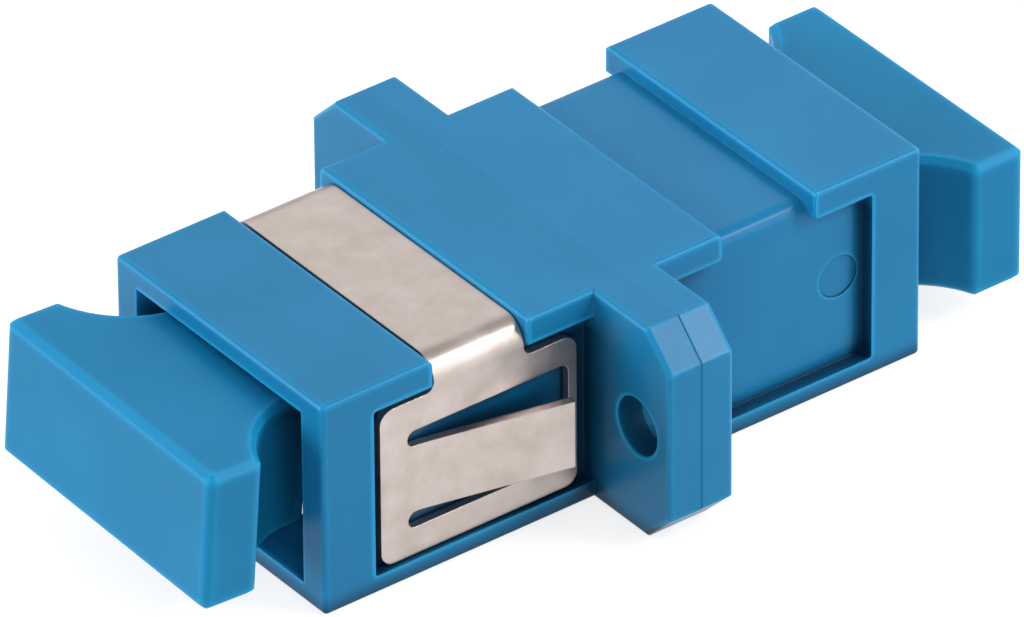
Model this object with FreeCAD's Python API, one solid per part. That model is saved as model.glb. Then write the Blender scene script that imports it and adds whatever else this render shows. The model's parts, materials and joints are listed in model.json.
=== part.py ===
import FreeCAD, Part
import math
import os

# Flanged SC fibre adapter: two like housing halves welded at x = 0, a latch holder in each,
# a split sleeve across the middle, a sprung steel panel clip and a dust cap in each port.
# Millimetres. +X runs along the ports, +Z is up, and the underside lies on z = 0.
# Each half is drawn as the front one, with its port facing -X, and turned about Z for the rear.

# Housing, outside
body_length = 28.0
body_width = 12.8
body_height = 9.3
flange_width = 22.0
flange_thickness = 3.0
flange_chamfer = 1.4
hole_from_flange_end = 2.0
hole_diameter = 2.4
hole_bevel = 0.06
edge_radius = 0.2
seam_bevel = 0.04

# Recess in each side and the groove over the top, where the clip sits
recess_depth = 0.6
recess_end_rim = 2.35
recess_top_rim = 1.15
recess_bottom_rim = 0.8
recess_corner_radius = 0.12
groove_centre = 6.74
groove_width = 4.42
groove_depth = 0.65
groove_corner_radius = 0.6
pin_mark_diameter = 1.8
pin_mark_depth = 0.06
pin_mark_from_end = 1.15

# Port
port_width = 9.2
port_height = 7.5
mouth_width = 10.2
mouth_height = 7.6
mouth_depth = 0.8
keyway_width = 3.2
keyway_length = 4.0
arm_pocket_depth = 0.65
arm_pocket_side_gap = 0.3
arm_pocket_end_gap = 0.5

# Locating pins on the welded faces: each half has pins at +Y and sockets at -Y
locator_diameter = 1.0
locator_length = 0.7
locator_clearance = 0.04
locator_offset_y = 6.5
locator_offset_z = 2.6

# Latch holder: plate, tube for the sleeve and two sprung arms
plate_thickness = 1.5
plate_margin_y = 0.5
plate_margin_z = 0.25
plate_corner_radius = 0.6
plate_clearance = 0.05
tube_diameter = 5.0
tube_root_radius = 0.4
tube_lip_diameter = 2.9
tube_lip_length = 0.5
tube_lead_in = 0.35
arm_reach = 12.0
arm_inner_offset = 3.95
arm_thickness = 0.8
arm_width = 2.6
arm_root_radius = 0.5
hook_height = 0.6
hook_flat = 0.3
hook_ramp = 1.1
hook_back = 0.35

# Split sleeve
sleeve_length = 11.4
sleeve_diameter = 3.2
ferrule_diameter = 2.5
sleeve_slit = 0.5
sleeve_bevel = 0.12
sleeve_clearance = 0.05

# Clip, bent from one strip
clip_thickness = 0.35
clip_standoff = 0.08
clip_leg_width = 4.15
clip_leg_rear_gap = 0.06
clip_plate_end_gap = 0.4
clip_plate_rear_gap = 0.65
clip_plate_drop = 0.35
clip_plate_rear_drop = 0.2          # how much lower the plate's top is behind the leg
clip_plate_bottom_gap = 0.1
clip_corner_radius = 0.6
clip_leg_radius = 0.4
window_front_bar = 1.25
window_rear_bar = 0.4
window_top_bar = 1.37
window_bottom_bar = 1.2
tongue_slot = 0.7
slot_flat = 0.007                 # what is left straight at the end of each slot's arm
tongue_end_gap = 0.7
tongue_lift = 1.35
tongue_bend_radius = 2.0
tongue_corner_radius = 0.35

# Dust cap
cap_grip_width = 12.7
cap_grip_thickness = 2.35
cap_height = 5.9
cap_offset = 0.35
cap_gap = 2.65
cap_neck_width = 7.2
cap_shoulder_radius = 3.9
cap_neck_insert = 1.5
cap_socket_diameter = 6.2
cap_socket_play = 0.28
cap_socket_overlap = 2.3
cap_socket_headroom = 4.0
cap_corner_radius = 0.35
cap_edge_bevel = 0.22
front_cap_out = 0.3                 # how far the loosely held front cap stands out of its port
front_cap_drop = 0.12               # and how far it hangs down
front_cap_lift = 3.0                # degrees, tipped up
front_cap_roll = 1.5                # degrees, turned about its length

half_length = body_length / 2
half_flange = flange_thickness / 2
hole_spacing = flange_width - 2 * hole_from_flange_end
mid_z = body_height / 2
over = 1.0                        # how far a cutting solid runs past the face that it opens
X = FreeCAD.Vector(1, 0, 0)
Y = FreeCAD.Vector(0, 1, 0)
Z = FreeCAD.Vector(0, 0, 1)


def block(x0, x1, y0, y1, z0, z1):
    """A rectangular solid between two corners."""
    return Part.makeBox(x1 - x0, y1 - y0, z1 - z0, FreeCAD.Vector(x0, y0, z0))


def centred(x0, x1, width, height, z=mid_z):
    """A rectangular solid along X, centred on the adapter's axis or on height z."""
    return block(x0, x1, -width / 2, width / 2, z - height / 2, z + height / 2)


def outline(corners, place):
    """A face from (u, v, radius) corners, each rounded by a tangent arc. place maps (u, v) to 3-D."""
    ends = []
    count = len(corners)
    for i, (u, v, radius) in enumerate(corners):
        before = corners[i - 1]
        after = corners[(i + 1) % count]
        to_before = FreeCAD.Vector(before[0] - u, before[1] - v, 0).normalize()
        to_after = FreeCAD.Vector(after[0] - u, after[1] - v, 0).normalize()
        corner = FreeCAD.Vector(u, v, 0)
        half_angle = to_before.getAngle(to_after) / 2
        if radius <= 0:
            ends.append((corner, None, corner))
            continue
        setback = radius / math.tan(half_angle)
        middle = (to_before + to_after).normalize() * (radius / math.sin(half_angle) - radius)
        ends.append((corner + to_before * setback, corner + middle, corner + to_after * setback))
    edges = []
    for i, (start, middle, end) in enumerate(ends):
        if middle is not None:
            edges.append(Part.Arc(place(start), place(middle), place(end)).toShape())
        following = ends[(i + 1) % count][0]
        if end.distanceToPoint(following) > 1e-6:
            edges.append(Part.LineSegment(place(end), place(following)).toShape())
    return Part.Face(Part.Wire(edges))


def in_xy(z):
    return lambda p: FreeCAD.Vector(p.x, p.y, z)


def in_xz(y):
    return lambda p: FreeCAD.Vector(p.x, y, p.y)


def in_yz(x):
    return lambda p: FreeCAD.Vector(x, p.x, p.y)


def rectangle(u0, u1, v0, v1, radius=0.0):
    """Corners of a rectangle for outline(), all with one radius."""
    return [(u0, v0, radius), (u1, v0, radius), (u1, v1, radius), (u0, v1, radius)]


def rod(x0, x1, diameter, y=0.0, z=mid_z):
    """A round bar along X."""
    return Part.makeCylinder(diameter / 2, x1 - x0, FreeCAD.Vector(x0, y, z), X)


def turned(profile):
    """The solid made by turning an (x, radius) profile about the adapter's axis."""
    points = [FreeCAD.Vector(x, 0, mid_z + radius) for x, radius in profile]
    face = Part.Face(Part.makePolygon(points + points[:1]))
    return face.revolve(FreeCAD.Vector(0, 0, mid_z), X, 360)


def tapered_port(x0, x1, width0, height0, width1, height1):
    """A rectangular funnel along X from one opening to the other."""
    wires = []
    for x, width, height in ((x0, width0, height0), (x1, width1, height1)):
        corners = rectangle(-width / 2, width / 2, mid_z - height / 2, mid_z + height / 2)
        wires.append(outline(corners, in_yz(x)).OuterWire)
    return Part.makeLoft(wires, True, True)


def near(value, target):
    return abs(value - target) < 1e-4


def edges_in(shape, planes, but_not=()):
    """The edges that lie in one of the planes, each a test of (x, |y|, z), and in none of but_not."""

    def lies_in(edge, tests):
        ends = [vertex.Point for vertex in edge.Vertexes]
        return any(all(test(p.x, abs(p.y), p.z) for p in ends) for test in tests)

    return [edge for edge in shape.Edges if lies_in(edge, planes) and not lies_in(edge, but_not)]


def to_rear(shape):
    """The same piece turned half a turn about Z, for the rear half."""
    turned_shape = shape.copy()
    turned_shape.rotate(FreeCAD.Vector(0, 0, 0), Z, 180)
    return turned_shape


# ---------------------------------------------------------------- housing

side_y = body_width / 2
recess_floor_y = side_y - recess_depth
recess_end_x = -(half_length - recess_end_rim)
recess_low = recess_bottom_rim
recess_high = body_height - recess_top_rim
groove_front = -(groove_centre + groove_width / 2)
groove_rear = -(groove_centre - groove_width / 2)
groove_floor = body_height - groove_depth
flange_y = flange_width / 2


def flange_half():
    """Half the flange's thickness: a plate with its four corners cut off, and its edges rounded."""
    corners = []
    for y_sign, z_sign in ((-1, -1), (1, -1), (1, 1), (-1, 1)):
        tip = [(flange_y - flange_chamfer, mid_z), (flange_y, mid_z - flange_chamfer)]
        if y_sign * z_sign > 0:
            tip.reverse()
        corners += [(y_sign * y, mid_z + z_sign * z, 0) for y, z in tip]
    return outline(corners, in_yz(-half_flange)).extrude(X * half_flange)


def side_recess(sign):
    """The shallow recess in one side, from the end rim to the flange."""
    corners = rectangle(recess_end_x, -half_flange, recess_low, recess_high, recess_corner_radius)
    corners[1] = (-half_flange, recess_low, 0)
    corners[2] = (-half_flange, recess_high, 0)
    return outline(corners, in_xz(sign * recess_floor_y)).extrude(Y * sign * (recess_depth + over))


def clip_groove():
    """The groove over the top and down through the upper rims, round a core with rounded shoulders."""
    low = recess_high - over
    saddle = block(groove_front, groove_rear, -side_y - over, side_y + over, low, body_height + over)
    core_corners = rectangle(-recess_floor_y, recess_floor_y, low - over, groove_floor)
    core_corners[2] = (recess_floor_y, groove_floor, groove_corner_radius)
    core_corners[3] = (-recess_floor_y, groove_floor, groove_corner_radius)
    core = outline(core_corners, in_yz(groove_front - over)).extrude(X * (groove_width + 2 * over))
    return saddle.cut(core)


def outer_half():
    """The half's outside, with rounded edges on the top, the underside, the end and the flange's face."""
    shell = block(-half_length, 0, -side_y, side_y, 0, body_height)
    shell = shell.fuse(flange_half()).removeSplitter()
    for sign in (-1, 1):
        shell = shell.cut(side_recess(sign))
    shell = shell.cut(clip_groove())
    rounded_faces = (
        lambda x, y, z: near(z, 0),
        lambda x, y, z: near(z, body_height),
        lambda x, y, z: near(x, -half_length),
        lambda x, y, z: near(x, -half_flange) and y > side_y + edge_radius,
    )
    left_sharp = (
        lambda x, y, z: near(x, 0),
        lambda x, y, z: near(y, flange_y - flange_chamfer),
    )
    return shell.makeFillet(edge_radius, edges_in(shell, rounded_faces, left_sharp))


def seam_bevelled(shell):
    """A fine bevel on the welded face round the flange's ends, which leaves a line between the halves."""
    flush = (
        lambda x, y, z: near(z, 0),
        lambda x, y, z: near(z, body_height),
    )
    return shell.makeChamfer(seam_bevel, edges_in(shell, [lambda x, y, z: near(x, 0)], flush))


def port_hollow():
    """The port: funnel mouth, guide, pockets for the sprung arms, keyway and the holder's seat."""
    face_x = -half_length
    guide_x = face_x + mouth_depth
    seat_x = -(plate_thickness + plate_clearance)
    hollow = tapered_port(face_x, guide_x, mouth_width, mouth_height, port_width, port_height)
    hollow = hollow.fuse(centred(guide_x - mouth_depth / 2, 0, port_width, port_height))
    pocket_x = -(arm_reach + arm_pocket_end_gap)
    pocket_width = port_width + 2 * arm_pocket_depth
    pocket_height = arm_width + 2 * arm_pocket_side_gap
    hollow = hollow.fuse(centred(pocket_x, 0, pocket_width, pocket_height))
    seat_width = port_width + 2 * (plate_margin_y + plate_clearance)
    seat_height = port_height + 2 * (plate_margin_z + plate_clearance)
    hollow = hollow.fuse(centred(seat_x, over, seat_width, seat_height))
    keyway = block(face_x - over, face_x + keyway_length, -keyway_width / 2, keyway_width / 2, -over, mid_z)
    return hollow.fuse(keyway)


def locator(z, extra=0.0):
    """A locating pin on the welded face at +Y, or with extra room the socket for one."""
    reach = locator_length + extra
    return rod(-reach, reach, locator_diameter + 2 * extra, locator_offset_y, z)


def front_housing():
    shell = seam_bevelled(outer_half()).cut(port_hollow())
    for y in (-hole_spacing / 2, hole_spacing / 2):
        shell = shell.cut(rod(-half_flange - over, over, hole_diameter, y))
        wide = hole_diameter / 2 + hole_bevel
        face_x = -half_flange
        bevel = Part.makeCone(wide, hole_diameter / 2, hole_bevel, FreeCAD.Vector(face_x, y, mid_z), X)
        shell = shell.cut(bevel)
    for z in (mid_z - locator_offset_z, mid_z + locator_offset_z):
        socket = locator(z, locator_clearance)
        socket.translate(FreeCAD.Vector(0, -2 * locator_offset_y, 0))
        shell = shell.fuse(locator(z)).cut(socket)
    mark_x = recess_end_x + pin_mark_from_end
    mark_start = FreeCAD.Vector(mark_x, recess_floor_y - pin_mark_depth, mid_z)
    return shell.cut(Part.makeCylinder(pin_mark_diameter / 2, over, mark_start, Y))


# ---------------------------------------------------------------- latch holder and sleeve

tube_bore = sleeve_diameter + 2 * sleeve_clearance
lip_x = -(sleeve_length / 2 + sleeve_clearance)
tube_tip_x = lip_x - tube_lip_length


def sprung_arm(sign):
    """One latch arm: a long flexible finger with an inward hook near its free end."""
    inner = arm_inner_offset
    outer = inner + arm_thickness
    root_x = -plate_thickness
    tip_x = -arm_reach
    hook_y = inner - hook_height
    root_inset = plate_thickness / 2
    corners = [
        (root_x + root_inset, inner - arm_root_radius - arm_thickness, 0),
        (root_x, inner - arm_root_radius - arm_thickness, 0),
        (root_x, inner, arm_root_radius),
        (tip_x + hook_ramp + hook_flat + hook_back, inner, 0),
        (tip_x + hook_ramp + hook_flat, hook_y, 0),
        (tip_x + hook_ramp, hook_y, 0),
        (tip_x, inner, 0),
        (tip_x, outer, arm_thickness / 4),
        (root_x + root_inset, outer, 0),
    ]
    corners = [(x, sign * y, radius) for x, y, radius in corners]
    profile = outline(corners, in_xy(mid_z - arm_width / 2))
    return profile.extrude(Z * arm_width)


def front_latch_holder():
    half_y = port_width / 2 + plate_margin_y
    half_z = port_height / 2 + plate_margin_z
    corners = rectangle(-half_y, half_y, mid_z - half_z, mid_z + half_z, plate_corner_radius)
    holder = outline(corners, in_yz(-plate_thickness)).extrude(X * plate_thickness)
    radius = tube_diameter / 2
    root_x = -plate_thickness
    tube = [
        (root_x / 2, 0),
        (root_x / 2, radius + tube_root_radius),
        (root_x, radius + tube_root_radius),
        (root_x - tube_root_radius, radius),
        (tube_tip_x + tube_lead_in, radius),
        (tube_tip_x, radius - tube_lead_in),
        (tube_tip_x, 0),
    ]
    holder = holder.fuse(turned(tube))
    for sign in (-1, 1):
        holder = holder.fuse(sprung_arm(sign))
    lip = tube_lip_diameter / 2
    bore = [
        (over, 0),
        (over, tube_bore / 2),
        (lip_x, tube_bore / 2),
        (lip_x, lip),
        (tube_tip_x + tube_lead_in, lip),
        (tube_tip_x - over, lip + tube_lead_in + over),
        (tube_tip_x - over, 0),
    ]
    return holder.cut(turned(bore))


def split_sleeve():
    """The ceramic sleeve: a thin tube split along its whole length at the top."""
    end = sleeve_length / 2
    outer = sleeve_diameter / 2
    inner = ferrule_diameter / 2
    profile = [
        (-end, inner),
        (-end, outer - sleeve_bevel),
        (-end + sleeve_bevel, outer),
        (end - sleeve_bevel, outer),
        (end, outer - sleeve_bevel),
        (end, inner),
    ]
    slit = block(-end - over, end + over, -sleeve_slit / 2, sleeve_slit / 2, mid_z, mid_z + sleeve_diameter)
    return turned(profile).cut(slit)


# ---------------------------------------------------------------- clip

clip_outer_y = recess_floor_y + clip_standoff + clip_thickness
clip_top = groove_floor + clip_standoff + clip_thickness
clip_front = recess_end_x + clip_plate_end_gap
clip_rear = -half_flange - clip_plate_rear_gap
plate_low = recess_low + clip_plate_bottom_gap
plate_high = recess_high - clip_plate_drop
plate_rear_high = plate_high - clip_plate_rear_drop
leg_rear = groove_rear - clip_leg_rear_gap
leg_front = leg_rear - clip_leg_width
window_front = clip_front + window_front_bar
window_rear = clip_rear - window_rear_bar
window_low = plate_low + window_bottom_bar
window_high = plate_high - window_top_bar
tongue_low = window_low + tongue_slot
tongue_high = window_high - tongue_slot
tongue_bend_x = window_front + tongue_slot / 2
tongue_end_x = window_rear - tongue_end_gap


def through_sides(corners):
    """An outline seen from the side, carried right through the adapter's width."""
    return outline(corners, in_xz(-body_width)).extrude(Y * 2 * body_width)


def bent_strip():
    """The strip bent over the housing: a channel with round bends, as long as the side plates."""
    inner_y = clip_outer_y - clip_thickness
    under = clip_top - clip_thickness
    inner_bend = groove_corner_radius + clip_standoff
    outer_bend = inner_bend + clip_thickness
    corners = [
        (clip_outer_y, plate_low, 0),
        (clip_outer_y, clip_top, outer_bend),
        (-clip_outer_y, clip_top, outer_bend),
        (-clip_outer_y, plate_low, 0),
        (-inner_y, plate_low, 0),
        (-inner_y, under, inner_bend),
        (inner_y, under, inner_bend),
        (inner_y, plate_low, 0),
    ]
    return outline(corners, in_yz(clip_front)).extrude(X * (clip_rear - clip_front))


def tongue(sign):
    """A sprung tongue: leaves the plate by a gentle bend and runs straight to its free end."""
    run = tongue_end_x - tongue_bend_x
    reach = math.hypot(run, tongue_bend_radius - tongue_lift)
    angle = math.atan2(run, tongue_bend_radius - tongue_lift) - math.acos(tongue_bend_radius / reach)
    centre_y = clip_outer_y + tongue_bend_radius

    def on_bend(radius, turn):
        x = tongue_bend_x + radius * math.sin(turn)
        return FreeCAD.Vector(x, sign * (centre_y - radius * math.cos(turn)), tongue_low)

    def free_end(radius):
        along = (tongue_end_x - on_bend(tongue_bend_radius, angle).x) / math.cos(angle)
        direction = FreeCAD.Vector(math.cos(angle), sign * math.sin(angle), 0)
        return on_bend(radius, angle) + direction * along

    outer = tongue_bend_radius
    inner = tongue_bend_radius + clip_thickness
    edges = [
        Part.Arc(on_bend(outer, 0), on_bend(outer, angle / 2), on_bend(outer, angle)).toShape(),
        Part.LineSegment(on_bend(outer, angle), free_end(outer)).toShape(),
        Part.LineSegment(free_end(outer), free_end(inner)).toShape(),
        Part.LineSegment(free_end(inner), on_bend(inner, angle)).toShape(),
        Part.Arc(on_bend(inner, angle), on_bend(inner, angle / 2), on_bend(inner, 0)).toShape(),
        Part.LineSegment(on_bend(inner, 0), on_bend(outer, 0)).toShape(),
    ]
    strip = Part.Face(Part.Wire(edges)).extrude(Z * (tongue_high - tongue_low))
    far = tongue_end_x + clip_thickness
    rounded = rectangle(tongue_bend_x - over, far, tongue_low, tongue_high)
    rounded[1] = (far, tongue_low, tongue_corner_radius)
    rounded[2] = (far, tongue_high, tongue_corner_radius)
    return strip.common(through_sides(rounded))


def mounting_clip():
    top = clip_top + over
    cut_out = [
        (clip_front, plate_low, clip_corner_radius),
        (clip_rear, plate_low, clip_corner_radius),
        (clip_rear, plate_rear_high, clip_corner_radius),
        (leg_rear, plate_rear_high, clip_leg_radius),
        (leg_rear, top, 0),
        (leg_front, top, 0),
        (leg_front, plate_high, clip_leg_radius),
        (clip_front, plate_high, clip_corner_radius),
    ]
    slot_end = tongue_slot / 2 - slot_flat
    slots = [
        (window_front, window_low, slot_end),
        (window_rear, window_low, slot_end),
        (window_rear, window_high, slot_end),
        (window_front, window_high, slot_end),
        (window_front, tongue_high, slot_end),
        (tongue_bend_x, tongue_high, 0),
        (tongue_bend_x, tongue_low, 0),
        (window_front, tongue_low, slot_end),
    ]
    clip = bent_strip().common(through_sides(cut_out)).cut(through_sides(slots))
    for sign in (-1, 1):
        clip = clip.fuse(tongue(sign))
    return clip.removeSplitter()


# ---------------------------------------------------------------- dust cap

cap_inner_x = -(half_length + cap_gap)
cap_outer_x = cap_inner_x - cap_grip_thickness
cap_neck_x = -half_length + cap_neck_insert
cap_centre_z = mid_z + cap_offset


def cap_plate():
    """The cap's flat body: a grip across the end, hollow shoulders and the neck, one height throughout."""
    grip_y = cap_grip_width / 2
    neck_y = cap_neck_width / 2
    radius = cap_shoulder_radius
    rise = min(radius, grip_y - neck_y)
    spread = math.sqrt(radius ** 2 - (radius - rise) ** 2)
    tangent_x = cap_inner_x + spread
    low = cap_centre_z - cap_height / 2

    def at(x, y):
        return FreeCAD.Vector(x, y, low)

    edges = []
    for sign in (1, -1):
        turn = math.atan2(spread, radius - rise) / 2
        corner = at(cap_inner_x, sign * (neck_y + rise))
        middle = at(tangent_x - radius * math.sin(turn), sign * (neck_y + radius * (1 - math.cos(turn))))
        tangent = at(tangent_x, sign * neck_y)
        grip = [at(cap_outer_x, 0), at(cap_outer_x, sign * grip_y), at(cap_inner_x, sign * grip_y), corner]
        neck = [tangent, at(cap_neck_x, sign * neck_y), at(cap_neck_x, 0)]
        for path in (grip, neck):
            for start, end in zip(path, path[1:]):
                if start.distanceToPoint(end) > 1e-6:
                    edges.append(Part.LineSegment(start, end).toShape())
        edges.append(Part.Arc(corner, middle, tangent).toShape())
    wire = Part.Wire(Part.__sortEdges__(edges))
    return Part.Face(wire).extrude(Z * cap_height).removeSplitter()


def dust_cap():
    """The cap: the grip's corners rounded, the broad faces bevelled, and a socket over the tube."""
    levels = (
        lambda x, y, z: near(z, cap_centre_z - cap_height / 2),
        lambda x, y, z: near(z, cap_centre_z + cap_height / 2),
    )
    plate = cap_plate()
    corners = edges_in(plate, [lambda x, y, z: near(y, cap_grip_width / 2)], levels)
    body = plate.makeFillet(cap_corner_radius, corners)
    rims = edges_in(body, levels, [lambda x, y, z: near(x, cap_neck_x)])
    body = body.makeChamfer(cap_edge_bevel, rims)
    mouth_x = tube_tip_x + cap_socket_overlap
    floor_x = tube_tip_x - cap_socket_headroom
    socket = rod(cap_neck_x - over, mouth_x, cap_socket_diameter)
    bore = rod(floor_x, mouth_x + over, tube_diameter + 2 * cap_socket_play)
    return body.fuse(socket).cut(bore)


def loosely_held(cap):
    """The front cap as it sits in its loose fit, tipped and turned a little about the tip of the tube."""
    tipped = cap.copy()
    pivot = FreeCAD.Vector(tube_tip_x, 0, mid_z)
    tipped.rotate(pivot, Y, front_cap_lift)
    tipped.rotate(pivot, X, front_cap_roll)
    tipped.translate(-X * front_cap_out - Z * front_cap_drop)
    return tipped


def upside_down(cap):
    """The same cap in the rear port, turned half a turn about Y."""
    other = cap.copy()
    other.rotate(FreeCAD.Vector(0, 0, mid_z), Y, 180)
    return other


half = front_housing()
holder = front_latch_holder()
cap = dust_cap()
nodes = {
    "front_housing": half,
    "rear_housing": to_rear(half),
    "mounting_clip": mounting_clip(),
    "front_latch_holder": holder,
    "rear_latch_holder": to_rear(holder),
    "split_sleeve": split_sleeve(),
    "front_dust_cap": loosely_held(cap),
    "rear_dust_cap": upside_down(cap),
}
os.makedirs("parts", exist_ok=True)
for name, shape in nodes.items():
    shape.exportStep("parts/" + name + ".step")
    print(name, shape.isValid(), len(shape.Solids), round(shape.Volume, 2))
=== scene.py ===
"""Looks for a flanged SC fibre adapter: satin blue mouldings, a steel clip, a ceramic sleeve.

Lengths are in metres in the part's own frame: +X along the ports, +Z up, underside on z = 0.
The frame's solids are dressed as they are. Only the floor, the camera and the lights are new.
"""

import json

import bpy
import numpy as np
from mathutils import Matrix, Vector

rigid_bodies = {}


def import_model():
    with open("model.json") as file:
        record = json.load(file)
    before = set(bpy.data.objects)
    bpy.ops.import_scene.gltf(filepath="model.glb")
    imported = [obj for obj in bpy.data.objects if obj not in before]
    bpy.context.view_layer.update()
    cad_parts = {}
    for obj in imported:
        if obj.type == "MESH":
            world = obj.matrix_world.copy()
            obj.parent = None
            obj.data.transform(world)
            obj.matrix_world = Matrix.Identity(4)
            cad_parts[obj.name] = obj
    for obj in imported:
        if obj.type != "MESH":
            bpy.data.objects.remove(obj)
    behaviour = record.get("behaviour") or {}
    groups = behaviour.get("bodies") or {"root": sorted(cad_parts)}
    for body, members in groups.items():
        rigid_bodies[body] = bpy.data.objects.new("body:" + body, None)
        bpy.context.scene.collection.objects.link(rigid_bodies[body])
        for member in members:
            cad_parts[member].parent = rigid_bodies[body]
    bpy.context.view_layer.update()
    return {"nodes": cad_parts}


MM = 0.001

for spare in list(bpy.data.objects):
    bpy.data.objects.remove(spare)
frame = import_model()


# ---------------------------------------------------------------- helpers


def linear(hex_colour):
    """An sRGB hex colour as a linear RGBA tuple."""
    channels = [int(hex_colour[i : i + 2], 16) / 255 for i in (1, 3, 5)]
    rgb = (c / 12.92 if c <= 0.04045 else ((c + 0.055) / 1.055) ** 2.4 for c in channels)
    return (*rgb, 1.0)


def add(tree, kind, inputs=None, stops=(), **settings):
    """Adds a node with its settings and links.

    Each named input takes a number, a colour or another node's output. The stops of a colour
    ramp are pairs of a position and a linear colour, from low to high.
    """
    node = tree.nodes.new(kind)
    for name, value in settings.items():
        setattr(node, name, value)
    for name, value in (inputs or {}).items():
        if isinstance(value, bpy.types.NodeSocket):
            tree.links.new(value, node.inputs[name])
        else:
            node.inputs[name].default_value = value
    for position, _ in stops[1:-1]:
        node.color_ramp.elements.new(position)
    if stops:
        for element, (position, colour) in zip(node.color_ramp.elements, stops):
            element.position, element.color = position, colour
    return node


def new_material(name):
    """A new material, with its node tree empty."""
    material = bpy.data.materials.new(name)
    material.use_nodes = True
    material.node_tree.nodes.clear()
    return material, material.node_tree


# ---------------------------------------------------------------- moulded plastic

# Object coordinates are in metres, so a noise scale of 1 / size gives features of about that size.
CLOUD_SIZE = 5.0 * MM       # slow drift of tone across a moulded face
CLOUD_RANGE = (0.35, 0.65)  # noise that takes the dark and the light shade
SKIN_SIZE = 0.16 * MM       # spark-eroded skin, drawn coarser than the real 0.03 mm, to show
SKIN_RELIEF = 0.003 * MM    # height of that skin
SKIN_STRENGTH = 0.12
SKIN_SHEEN = 0.04           # how far the skin moves the roughness either way

PBT_IOR = 1.5
PBT_SPECULAR = 0.15         # the eroded skin scatters most of the gloss
TRANSLUCENCY = 0.12
LIGHT_REACH = 0.4 * MM      # how far blue light wanders in the plastic
REACH_BY_COLOUR = (0.2, 0.8, 1.0)  # red is taken up soonest

# Painted edge light: how solid the plastic is behind a sharp edge, a rounded one and a flat face,
# each with its share of the bright colour painted on, in place of light showing through the
# plastic.
PAINTED_EDGE_LIGHT_COLOUR = linear("#20A8E2")
PAINTED_EDGE_LIGHT_STOPS = ((0.5, 0.3), (0.68, 1.0), (0.95, 0.0))

# Painted recess shade: where little open air is in reach, the base colour is painted a dark navy
# in place of shade.
PAINTED_SHADE_COLOUR = linear("#06243F")
PAINTED_SHADE_SHARE = 0.9            # most of this painted shade colour that a recess takes on
DEEP_CORNER = 5.0 * MM      # how far off a wall a recess still takes painted shade from it
NARROW_GAP = 1.5 * MM       # a gap or window this narrow is painted dark inside
OPEN_AIR, SHUT_IN = 0.8, 0.54  # openness where the painted shade starts and where it is full
SKY_LEVEL = 8.4 * MM        # corners above this height are open to the light and get no painted shade
SKY_FADE = 1.0 * MM         # depth below that height over which the painted shade comes in
SEAM_REACH = 0.35 * MM      # no painted edge light, painted recess shade or softening this close to the weld

EDGE_SAMPLES = 6
RECESS_SAMPLES = 10


def off_seam(tree, place, value):
    """The value, but none of it on the weld between the two housings at x = 0."""
    across = add(tree, "ShaderNodeSeparateXYZ", {"Vector": place}).outputs["X"]
    away = add(tree, "ShaderNodeMath", {0: across}, operation="ABSOLUTE").outputs["Value"]
    clear = add(tree, "ShaderNodeMath", {0: away, 1: SEAM_REACH}, operation="GREATER_THAN")
    masked = add(
        tree, "ShaderNodeMath", {0: value, 1: clear.outputs["Value"]}, operation="MULTIPLY"
    )
    return masked.outputs["Value"]


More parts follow.
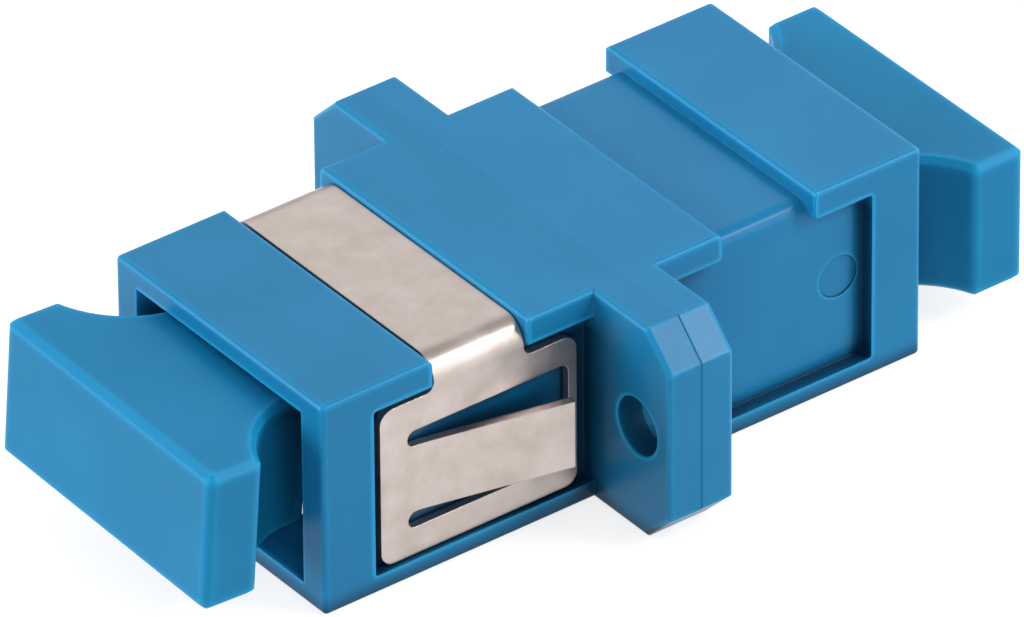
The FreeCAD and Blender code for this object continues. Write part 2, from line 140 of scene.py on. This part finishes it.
def moulded_plastic(name, dark, light, roughness, softness, painted_edge_light_reach):
    """PBT moulded in a spark-eroded tool: satin and a little translucent.

    The tone drifts between the dark and the light shade. Within painted_edge_light_reach of a
    convex edge the colour is painted a brighter cyan, painted light in place of light showing
    through the plastic, and in corners, gaps and recesses it is painted a dark navy, painted
    shade.
    Edges are shaded as if rounded by softness.
    """
    material, tree = new_material(name)
    place = add(tree, "ShaderNodeTexCoord").outputs["Object"]
    cloud = add(
        tree, "ShaderNodeTexNoise", {"Vector": place, "Scale": 1 / CLOUD_SIZE, "Detail": 3.0}
    )
    tone = add(
        tree,
        "ShaderNodeValToRGB",
        {"Fac": cloud.outputs["Fac"]},
        stops=tuple(zip(CLOUD_RANGE, (linear(dark), linear(light)))),
    )

    solid = add(
        tree,
        "ShaderNodeAmbientOcclusion",
        {"Distance": painted_edge_light_reach},
        inside=True,
        only_local=True,
        samples=EDGE_SAMPLES,
    )
    painted_edge_light = add(
        tree,
        "ShaderNodeValToRGB",
        {"Fac": solid.outputs["AO"]},
        stops=tuple((solidity, (share, share, share, 1.0)) for solidity, share in PAINTED_EDGE_LIGHT_STOPS),
    )
    # Painted edge light: near convex edges the base colour is brightened to cyan.
    edge_lit_tone = add(
        tree,
        "ShaderNodeMix",
        {
            "Factor": off_seam(tree, place, painted_edge_light.outputs["Color"]),
            "A": tone.outputs["Color"],
            "B": PAINTED_EDGE_LIGHT_COLOUR,
        },
        data_type="RGBA",
    )

    corners = add(
        tree,
        "ShaderNodeAmbientOcclusion",
        {"Distance": DEEP_CORNER},
        only_local=True,
        samples=RECESS_SAMPLES,
    )
    gaps = add(
        tree, "ShaderNodeAmbientOcclusion", {"Distance": NARROW_GAP}, samples=RECESS_SAMPLES
    )
    openness = add(
        tree,
        "ShaderNodeMath",
        {0: corners.outputs["AO"], 1: gaps.outputs["AO"]},
        operation="MINIMUM",
    )
    height = add(tree, "ShaderNodeSeparateXYZ", {"Vector": place})
    depth = add(
        tree,
        "ShaderNodeMapRange",
        {
            "Value": height.outputs["Z"],
            "From Min": SKY_LEVEL,
            "From Max": SKY_LEVEL - SKY_FADE,
            "To Max": PAINTED_SHADE_SHARE,
        },
    )
    shade = add(
        tree,
        "ShaderNodeMapRange",
        {
            "Value": openness.outputs["Value"],
            "From Min": OPEN_AIR,
            "From Max": SHUT_IN,
            "To Max": depth.outputs["Result"],
        },
    )
    # Painted shade: in corners, gaps and recesses the base colour is darkened towards navy, less
    # so near the top.
    painted_shade = add(
        tree,
        "ShaderNodeMix",
        {
            "Factor": off_seam(tree, place, shade.outputs["Result"]),
            "A": edge_lit_tone.outputs["Result"],
            "B": PAINTED_SHADE_COLOUR,
        },
        data_type="RGBA",
    )

    skin = add(
        tree, "ShaderNodeTexNoise", {"Vector": place, "Scale": 1 / SKIN_SIZE, "Detail": 2.0}
    )
    satin = add(
        tree,
        "ShaderNodeMapRange",
        {
            "Value": skin.outputs["Fac"],
            "To Min": roughness - SKIN_SHEEN,
            "To Max": roughness + SKIN_SHEEN,
        },
    )
    edge = add(
        tree,
        "ShaderNodeBevel",
        {"Radius": off_seam(tree, place, softness)},
        samples=EDGE_SAMPLES,
    )
    relief = add(
        tree,
        "ShaderNodeBump",
        {
            "Height": skin.outputs["Fac"],
            "Distance": SKIN_RELIEF,
            "Strength": SKIN_STRENGTH,
            "Normal": edge.outputs["Normal"],
        },
    )
    shader = add(
        tree,
        "ShaderNodeBsdfPrincipled",
        {
            "Base Color": painted_shade.outputs["Result"],
            "Roughness": satin.outputs["Result"],
            "IOR": PBT_IOR,
            "Normal": relief.outputs["Normal"],
            "Specular IOR Level": PBT_SPECULAR,
            "Subsurface Weight": TRANSLUCENCY,
            "Subsurface Scale": LIGHT_REACH,
            "Subsurface Radius": REACH_BY_COLOUR,
        },
    )
    add(tree, "ShaderNodeOutputMaterial", {"Surface": shader.outputs["BSDF"]})
    return material


# ---------------------------------------------------------------- steel, ceramic and acrylic

MOTTLE_SIZE = 1.3 * MM       # stained patches on the tumbled steel
MOTTLE_RANGE = (0.3, 0.7)    # noise that takes the dark and the light shade
STEEL_SHADES = (linear("#B7AAA2"), linear("#CDC1BC"))
STEEL_ROUGHNESS = (0.3, 0.46)
LINE_SIZE = 0.09 * MM        # rolling lines along the strip
LINE_STRETCH = 0.06          # a line is 1 / this times as long as it is wide
LINE_RELIEF = 0.003 * MM
LINE_STRENGTH = 0.3
STEEL_EDGE = 0.06 * MM       # radius that tumbling leaves on the strip's edges

ZIRCONIA_IOR = 2.1
ZIRCONIA_ROUGHNESS = 0.3
ZIRCONIA_SHADES = (linear("#E9E7DE"), linear("#F4F2EC"))
GRAIN_SIZE = 0.4 * MM        # drawn far coarser than the real grain, which is too fine to show

ACRYLIC_ROUGHNESS = 0.9
ACRYLIC_GLOW = 0.75          # how strongly the table is lit from below


def rolled_steel(name):
    """Stainless spring strip, rolled and then tumbled: warm grey and softly mottled.

    The strip runs over the top and down the sides, so its fine rolling lines lie along Y and Z.
    """
    material, tree = new_material(name)
    place = add(tree, "ShaderNodeTexCoord").outputs["Object"]
    mottle = add(
        tree,
        "ShaderNodeTexNoise",
        {"Vector": place, "Scale": 1 / MOTTLE_SIZE, "Detail": 5.0, "Roughness": 0.6},
    )
    tone = add(
        tree,
        "ShaderNodeValToRGB",
        {"Fac": mottle.outputs["Fac"]},
        stops=tuple(zip(MOTTLE_RANGE, STEEL_SHADES)),
    )
    finish = add(
        tree,
        "ShaderNodeMapRange",
        {
            "Value": mottle.outputs["Fac"],
            "To Min": STEEL_ROUGHNESS[0],
            "To Max": STEEL_ROUGHNESS[1],
        },
    )
    along = add(
        tree, "ShaderNodeMapping", {"Vector": place, "Scale": (1.0, LINE_STRETCH, LINE_STRETCH)}
    )
    lines = add(
        tree,
        "ShaderNodeTexNoise",
        {"Vector": along.outputs["Vector"], "Scale": 1 / LINE_SIZE, "Detail": 2.0},
    )
    edge = add(tree, "ShaderNodeBevel", {"Radius": STEEL_EDGE}, samples=EDGE_SAMPLES)
    relief = add(
        tree,
        "ShaderNodeBump",
        {
            "Height": lines.outputs["Fac"],
            "Distance": LINE_RELIEF,
            "Strength": LINE_STRENGTH,
            "Normal": edge.outputs["Normal"],
        },
    )
    shader = add(
        tree,
        "ShaderNodeBsdfPrincipled",
        {
            "Base Color": tone.outputs["Color"],
            "Metallic": 1.0,
            "Roughness": finish.outputs["Result"],
            "Normal": relief.outputs["Normal"],
        },
    )
    add(tree, "ShaderNodeOutputMaterial", {"Surface": shader.outputs["BSDF"]})
    return material


def ground_ceramic(name):
    """Zirconia, sintered and ground: an even warm white with a low sheen."""
    material, tree = new_material(name)
    place = add(tree, "ShaderNodeTexCoord").outputs["Object"]
    grain = add(
        tree, "ShaderNodeTexNoise", {"Vector": place, "Scale": 1 / GRAIN_SIZE, "Detail": 2.0}
    )
    tone = add(
        tree,
        "ShaderNodeValToRGB",
        {"Fac": grain.outputs["Fac"]},
        stops=tuple(zip((0.0, 1.0), ZIRCONIA_SHADES)),
    )
    shader = add(
        tree,
        "ShaderNodeBsdfPrincipled",
        {
            "Base Color": tone.outputs["Color"],
            "Roughness": ZIRCONIA_ROUGHNESS,
            "IOR": ZIRCONIA_IOR,
        },
    )
    add(tree, "ShaderNodeOutputMaterial", {"Surface": shader.outputs["BSDF"]})
    return material


def lit_acrylic(name):
    """The opal acrylic of a light table, lit from below, so shadows on it stay faint."""
    material, tree = new_material(name)
    shader = add(
        tree,
        "ShaderNodeBsdfPrincipled",
        {
            "Base Color": linear("#B4B4B4"),
            "Roughness": ACRYLIC_ROUGHNESS,
            "Emission Color": linear("#FFFFFF"),
            "Emission Strength": ACRYLIC_GLOW,
        },
    )
    add(tree, "ShaderNodeOutputMaterial", {"Surface": shader.outputs["BSDF"]})
    return material


# ---------------------------------------------------------------- finish of each piece

# painted_edge_light_reach sets how far from an edge the painted edge light reaches.
FRONT_HOUSING = {"roughness": 0.30, "softness": 0.08 * MM, "painted_edge_light_reach": 0.24 * MM}
REAR_HOUSING = {"roughness": 0.26, "softness": 0.08 * MM, "painted_edge_light_reach": 0.24 * MM}
DUST_CAP = {"roughness": 0.42, "softness": 0.12 * MM, "painted_edge_light_reach": 0.45 * MM}
LATCH_HOLDER = {"roughness": 0.42, "softness": 0.06 * MM, "painted_edge_light_reach": 0.24 * MM}

finishes = {
    "front_housing": moulded_plastic("housing_pbt", "#1978A8", "#1D7EAE", **FRONT_HOUSING),
    "rear_housing": moulded_plastic("rear_housing_pbt", "#197AAC", "#1D80B2", **REAR_HOUSING),
    "front_dust_cap": moulded_plastic("cap_pbt", "#107AAA", "#1480B1", **DUST_CAP),
    "rear_dust_cap": moulded_plastic("rear_cap_pbt", "#107AAA", "#1480B1", **DUST_CAP),
    "front_latch_holder": moulded_plastic("latch_pbt", "#1B6C9A", "#2076A6", **LATCH_HOLDER),
    "rear_latch_holder": moulded_plastic("rear_latch_pbt", "#1B6C9A", "#2076A6", **LATCH_HOLDER),
    "mounting_clip": rolled_steel("rolled_stainless"),
    "split_sleeve": ground_ceramic("ground_zirconia"),
}
for node_name, material in finishes.items():
    slots = frame["nodes"][node_name].data.materials
    slots.clear()
    slots.append(material)


# ---------------------------------------------------------------- floor, camera and light

FLOOR_REACH = 3.0  # half the floor's width
FLOOR_LINES = 3    # grid lines along each side

# Sensor and lens are in mm. The camera's axes are unit vectors.
SENSOR_WIDTH = 36.0
FOCAL_LENGTH = 575.16
NEAREST = 0.01     # the lens sees nothing closer than this
CAMERA_PLACE = Vector((-305.197, -403.174, 348.340)) * MM
CAMERA_RIGHT = Vector((0.79490, -0.60670, -0.00681))
CAMERA_UP = Vector((0.34566, 0.44361, 0.82688))
CAMERA_BACK = Vector((-0.49865, -0.65965, 0.56233))

# Each softbox: name, place, side of its square and power in watts.
SOFTBOXES = (
    ("low_left_softbox", (-0.42, 0.26, 0.12), 0.25, 1.65),
    ("high_left_softbox", (-0.27, 0.27, 0.32), 0.25, 0.1),
    ("low_right_softbox", (0.35, -0.35, 0.12), 0.25, 0.8),
    ("low_front_softbox", (-0.35, -0.35, 0.10), 0.25, 0.38),
    ("high_right_softbox", (0.25, -0.28, 0.33), 0.12, 0.75),
    ("rear_softbox", (0.48, 0.05, 0.20), 0.25, 0.45),
    ("back_softbox", (0.24, 0.33, 0.30), 0.30, 0.22),
    ("top_softbox", (0.0, 0.0, 0.5), 0.25, 0.1),
)
TENT_STRENGTH = 0.5  # the white tent around it all


def floor_sheet(reach):
    """A flat grid: x and y run over a square of half-width reach, at z = 0.

    The sheet shows in gloss and behind the adapter, but sends no soft light up at it.
    """
    side = np.linspace(-reach, reach, FLOOR_LINES)
    x, y = np.meshgrid(side, side, indexing="ij")
    points = np.stack([x, y, np.zeros_like(x)], axis=-1).reshape(-1, 3)
    step = np.arange(FLOOR_LINES - 1)
    corner = (step[:, None] * FLOOR_LINES + step[None, :]).reshape(-1)
    across = corner + FLOOR_LINES
    faces = np.stack([corner, across, across + 1, corner + 1], axis=-1)
    mesh = bpy.data.meshes.new("floor")
    mesh.from_pydata(points.tolist(), [], faces.tolist())
    floor = bpy.data.objects.new("floor", mesh)
    floor.data.materials.append(lit_acrylic("opal_acrylic"))
    floor.visible_diffuse = False
    bpy.context.scene.collection.objects.link(floor)


def long_lens():
    """A long lens, looking down on the clip's side from over the front port."""
    data = bpy.data.cameras.new("camera")
    data.sensor_width = SENSOR_WIDTH
    data.lens = FOCAL_LENGTH
    data.clip_start = NEAREST
    camera = bpy.data.objects.new("camera", data)
    turn = Matrix((CAMERA_RIGHT, CAMERA_UP, CAMERA_BACK)).transposed().to_4x4()
    camera.matrix_world = Matrix.Translation(CAMERA_PLACE) @ turn
    bpy.context.scene.collection.objects.link(camera)
    bpy.context.scene.camera = camera


def softbox(name, place, size, power):
    """A square area light that faces the middle of the adapter."""
    data = bpy.data.lights.new(name, "AREA")
    data.shape = "SQUARE"
    data.size = size
    data.energy = power
    light = bpy.data.objects.new(name, data)
    direction = Vector(place)
    turn = direction.to_track_quat("Z", "Y").to_matrix().to_4x4()
    light.matrix_world = Matrix.Translation(direction) @ turn
    bpy.context.scene.collection.objects.link(light)


floor_sheet(FLOOR_REACH)
long_lens()
for row in SOFTBOXES:
    softbox(*row)

tent = bpy.data.worlds.new("light_tent")
tent.use_nodes = True
tent.node_tree.nodes["Background"].inputs["Color"].default_value = linear("#FFFFFF")
tent.node_tree.nodes["Background"].inputs["Strength"].default_value = TENT_STRENGTH
bpy.context.scene.world = tent
bpy.context.scene.view_settings.view_transform = "Standard"
